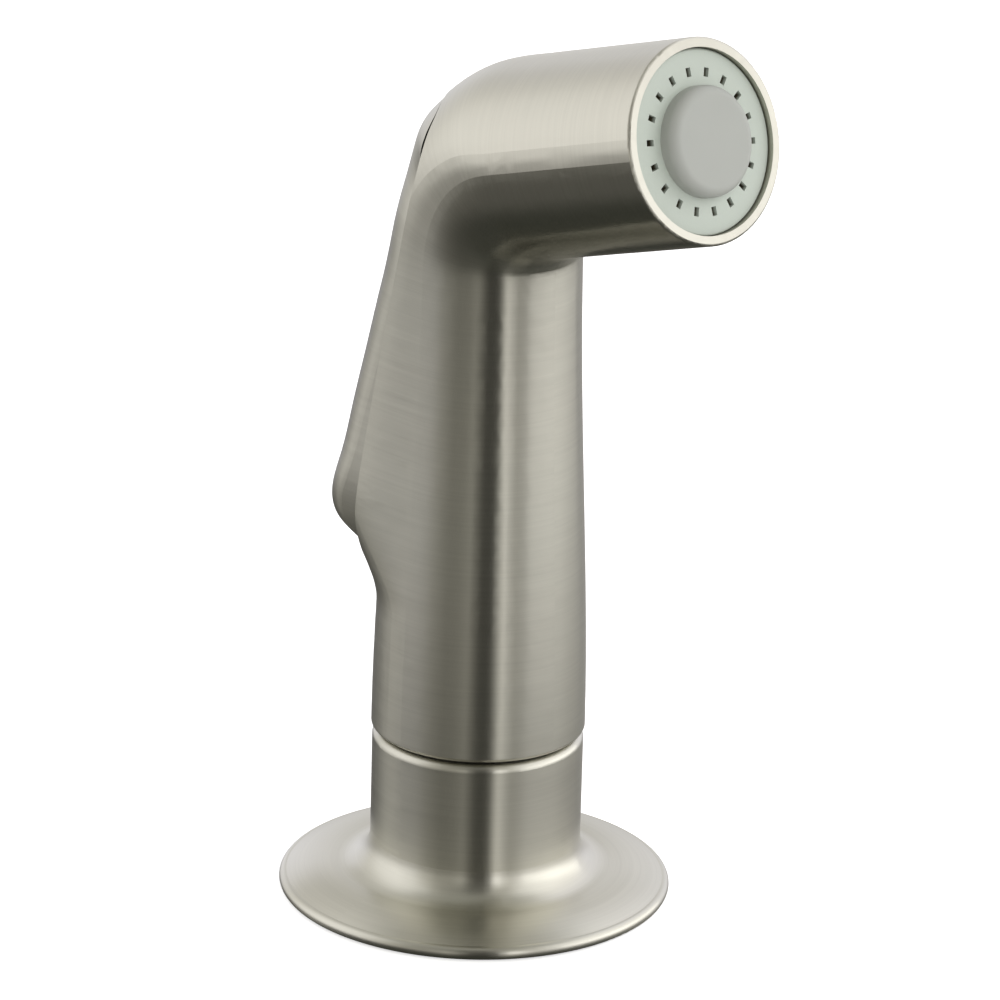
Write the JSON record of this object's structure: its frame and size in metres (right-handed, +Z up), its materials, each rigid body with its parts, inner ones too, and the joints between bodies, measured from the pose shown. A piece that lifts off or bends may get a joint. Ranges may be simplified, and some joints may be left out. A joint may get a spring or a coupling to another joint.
{
  "type": "sink side spray",
  "caption": "Hand spray for a kitchen sink, with a bent head, a squeeze lever and an inner valve, that stands in a round deck holder with a threaded shank.",
  "frame": {"origin": "on the holder's axis, in the plane of the sink deck under the gasket", "axes": "+Z up along the holder's axis; -Y the way the spray head points; X across, the part is alike on both sides of X = 0"},
  "size_m": [0.056, 0.0727, 0.1726],
  "materials": {
    "nickel": "satin brushed nickel plate",
    "guide_plastic": "moulded, satin",
    "acetal": "moulded, satin",
    "brass": "machined",
    "steel": "stainless, plain",
    "rubber": "moulded, dull",
    "face_plastic": "moulded, satin grey-green",
    "button_plastic": "moulded, satin warm grey"
  },
  "bodies": {
    "holder": {"escutcheon": "nickel", "hose_guide": "guide_plastic", "deck_gasket": "rubber", "deck_washer": "steel", "mounting_nut": "guide_plastic"},
    "seat_ring": {"seat_ring": "acetal"},
    "wand": {"wand_shell": "nickel", "base_plug": "guide_plastic", "inlet_insert": "brass", "inlet_gasket": "rubber", "waterway": "acetal", "valve_cap": "acetal", "valve_bushing": "brass", "gland_oring": "rubber", "outlet_tube": "acetal", "tube_orings": "rubber", "lever_pins": "steel", "spray_housing": "acetal", "flow_disc": "acetal", "spray_face": "face_plastic", "face_button": "button_plastic", "face_oring": "rubber", "face_screw": "steel"},
    "lever": {"lever": "nickel", "lever_shoe": "acetal"},
    "valve_stem": {"valve_stem": "brass", "valve_seal": "rubber", "valve_spring": "steel"}
  },
  "joints": [
    {"name": "wand_lift", "type": "slide", "parent": "holder", "child": "seat_ring", "axis": [0, 0, 1], "range_m": [0, 0.12]},
    {"name": "wand_swivel", "type": "hinge", "parent": "seat_ring", "child": "wand", "pos_m": [0, 0, 0.0239], "axis": [0, 0, 1], "continuous": true},
    {"name": "lever_press", "type": "hinge", "parent": "wand", "child": "lever", "pos_m": [0, -0.0016, 0.112], "axis": [-1, 0, 0], "range_deg": [0, 4.5], "stiffness_Nm_per_rad": 3, "springref_deg": -3.44},
    {"name": "stem_slide", "type": "slide", "parent": "wand", "child": "valve_stem", "axis": [0, -1, 0], "range_m": [0, 0.0026], "deforming": ["valve_spring"]}
  ],
  "couplings": [
    {"joint": "stem_slide", "follows": "lever_press", "m_per_rad": 0.032}
  ]
}
